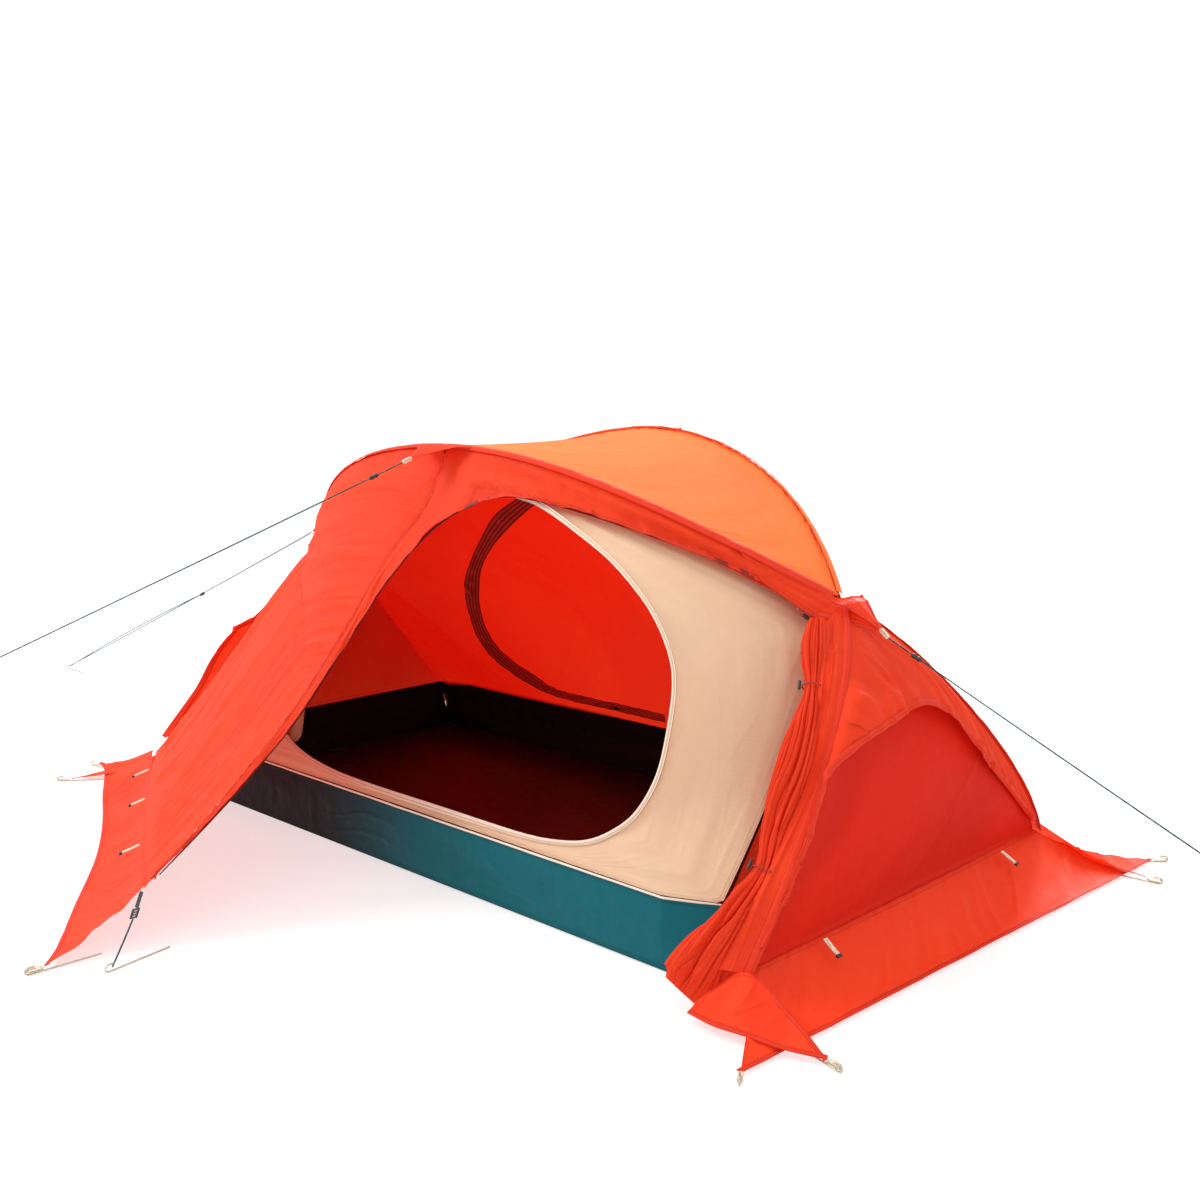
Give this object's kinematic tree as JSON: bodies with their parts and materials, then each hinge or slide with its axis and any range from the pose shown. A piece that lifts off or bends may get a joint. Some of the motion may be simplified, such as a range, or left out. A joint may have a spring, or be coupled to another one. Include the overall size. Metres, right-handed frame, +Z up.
{
  "type": "tent on poles",
  "caption": "Low tent with two crossed bent poles, outer cloth with an open vestibule door, separate inner tent with a tub floor, ground skirts, guy lines and pegs.",
  "frame": {"origin": "on the ground under the middle of the floor", "axes": "+X along the sleeping length, -Y towards the open door, +Z up"},
  "size_m": [5.67, 3.5029, 1.1588],
  "materials": {
    "fly_cloth": "coated ripstop",
    "roof_cloth": "coated ripstop",
    "inner_cloth": "breathable weave",
    "tub_cloth": "coated taffeta",
    "zip_tape": "woven tape with coil",
    "pole_alloy": "anodised",
    "peg_metal": "drawn wire",
    "guy_cord": "braided",
    "elastic": "braided elastic",
    "cream_webbing": "woven webbing",
    "dark_webbing": "woven webbing",
    "black_plastic": "moulded"
  },
  "bodies": {
    "tent": {"corner_grommets": "pole_alloy", "corner_straps": "dark_webbing", "crossing_ties": "dark_webbing", "door_ties": "elastic", "fly_door_band": "fly_cloth", "fly_door_gathered": "fly_cloth", "fly_door_zip": "zip_tape", "fly_front_left": "fly_cloth", "fly_gables": "fly_cloth", "fly_hoods": "fly_cloth", "fly_rear_left": "fly_cloth", "fly_rear_right": "fly_cloth", "fly_roof": "roof_cloth", "ground_pegs": "peg_metal", "guy_loops": "cream_webbing", "guy_pegs": "peg_metal", "guy_tabs": "fly_cloth", "guyline_front": "guy_cord", "guyline_left": "guy_cord", "guyline_left_return": "guy_cord", "guyline_right": "guy_cord", "inner_door_roll": "inner_cloth", "inner_door_ties": "elastic", "inner_door_zip": "zip_tape", "inner_ends": "inner_cloth", "inner_front_wall": "inner_cloth", "inner_hooks": "black_plastic", "inner_rear_wall": "inner_cloth", "inner_roof": "inner_cloth", "peg_loops": "cream_webbing", "pole_ferrules": "pole_alloy", "pole_front": "pole_alloy", "pole_rear": "pole_alloy", "pole_sleeves": "fly_cloth", "pole_tips": "black_plastic", "pull_tab_ends": "black_plastic", "pull_tabs": "cream_webbing", "rear_door_zip": "zip_tape", "rear_zip_flap": "zip_tape", "shock_cords": "elastic", "skirt_ends": "fly_cloth", "skirt_front_left": "fly_cloth", "skirt_front_right": "fly_cloth", "skirt_rear": "fly_cloth", "tip_buckles": "black_plastic", "tip_cord_front": "guy_cord", "tip_cord_rear": "guy_cord", "tip_straps": "dark_webbing", "tub_floor": "tub_cloth", "tub_walls": "tub_cloth"},
    "runner_front": {"runner_front": "black_plastic"},
    "runner_left": {"runner_left": "black_plastic"},
    "runner_right": {"runner_right": "black_plastic"},
    "door_zip_slider": {"door_zip_slider": "black_plastic"},
    "rear_zip_slider": {"rear_zip_slider": "black_plastic"},
    "inner_zip_slider": {"inner_zip_slider": "black_plastic"},
    "rear_inner_slider": {"rear_inner_slider": "black_plastic"},
    "door_toggle_upper": {"door_toggle_upper": "black_plastic"},
    "door_toggle_lower": {"door_toggle_lower": "black_plastic"}
  },
  "joints": [
    {"name": "runner_front_slide", "type": "slide", "parent": "tent", "child": "runner_front", "axis": [-0.6948, -0.5752, -0.4318], "range_m": [0, 0.12]},
    {"name": "runner_left_slide", "type": "slide", "parent": "tent", "child": "runner_left", "axis": [-0.9294, 0, -0.369], "range_m": [-0.1, 0]},
    {"name": "runner_right_slide", "type": "slide", "parent": "tent", "child": "runner_right", "axis": [0.8878, 0.0749, -0.454], "range_m": [0, 0.12]},
    {"name": "door_zip_slide", "type": "slide", "parent": "tent", "child": "door_zip_slider", "axis": [-0.8132, -0.2687, 0.5162], "range_m": [0, 0.1]},
    {"name": "rear_zip_slide", "type": "slide", "parent": "tent", "child": "rear_zip_slider", "axis": [0, -0.716, 0.6981], "range_m": [0, 0.3]},
    {"name": "inner_zip_slide", "type": "slide", "parent": "tent", "child": "inner_zip_slider", "axis": [0, 0.231, 0.973], "range_m": [0, 0.09]},
    {"name": "rear_inner_zip_slide", "type": "slide", "parent": "tent", "child": "rear_inner_slider", "axis": [-1, 0, 0], "range_m": [0, 0.12]},
    {"name": "toggle_upper_turn", "type": "hinge", "parent": "tent", "child": "door_toggle_upper", "pos_m": [1.0817, -0.234, 0.6142], "axis": [-0.7277, -0.6552, 0.2028], "range_deg": [-85, 85]},
    {"name": "toggle_lower_turn", "type": "hinge", "parent": "tent", "child": "door_toggle_lower", "pos_m": [1.1359, -0.474, 0.2691], "axis": [-0.7093, -0.5567, 0.4323], "range_deg": [-85, 85]}
  ]
}
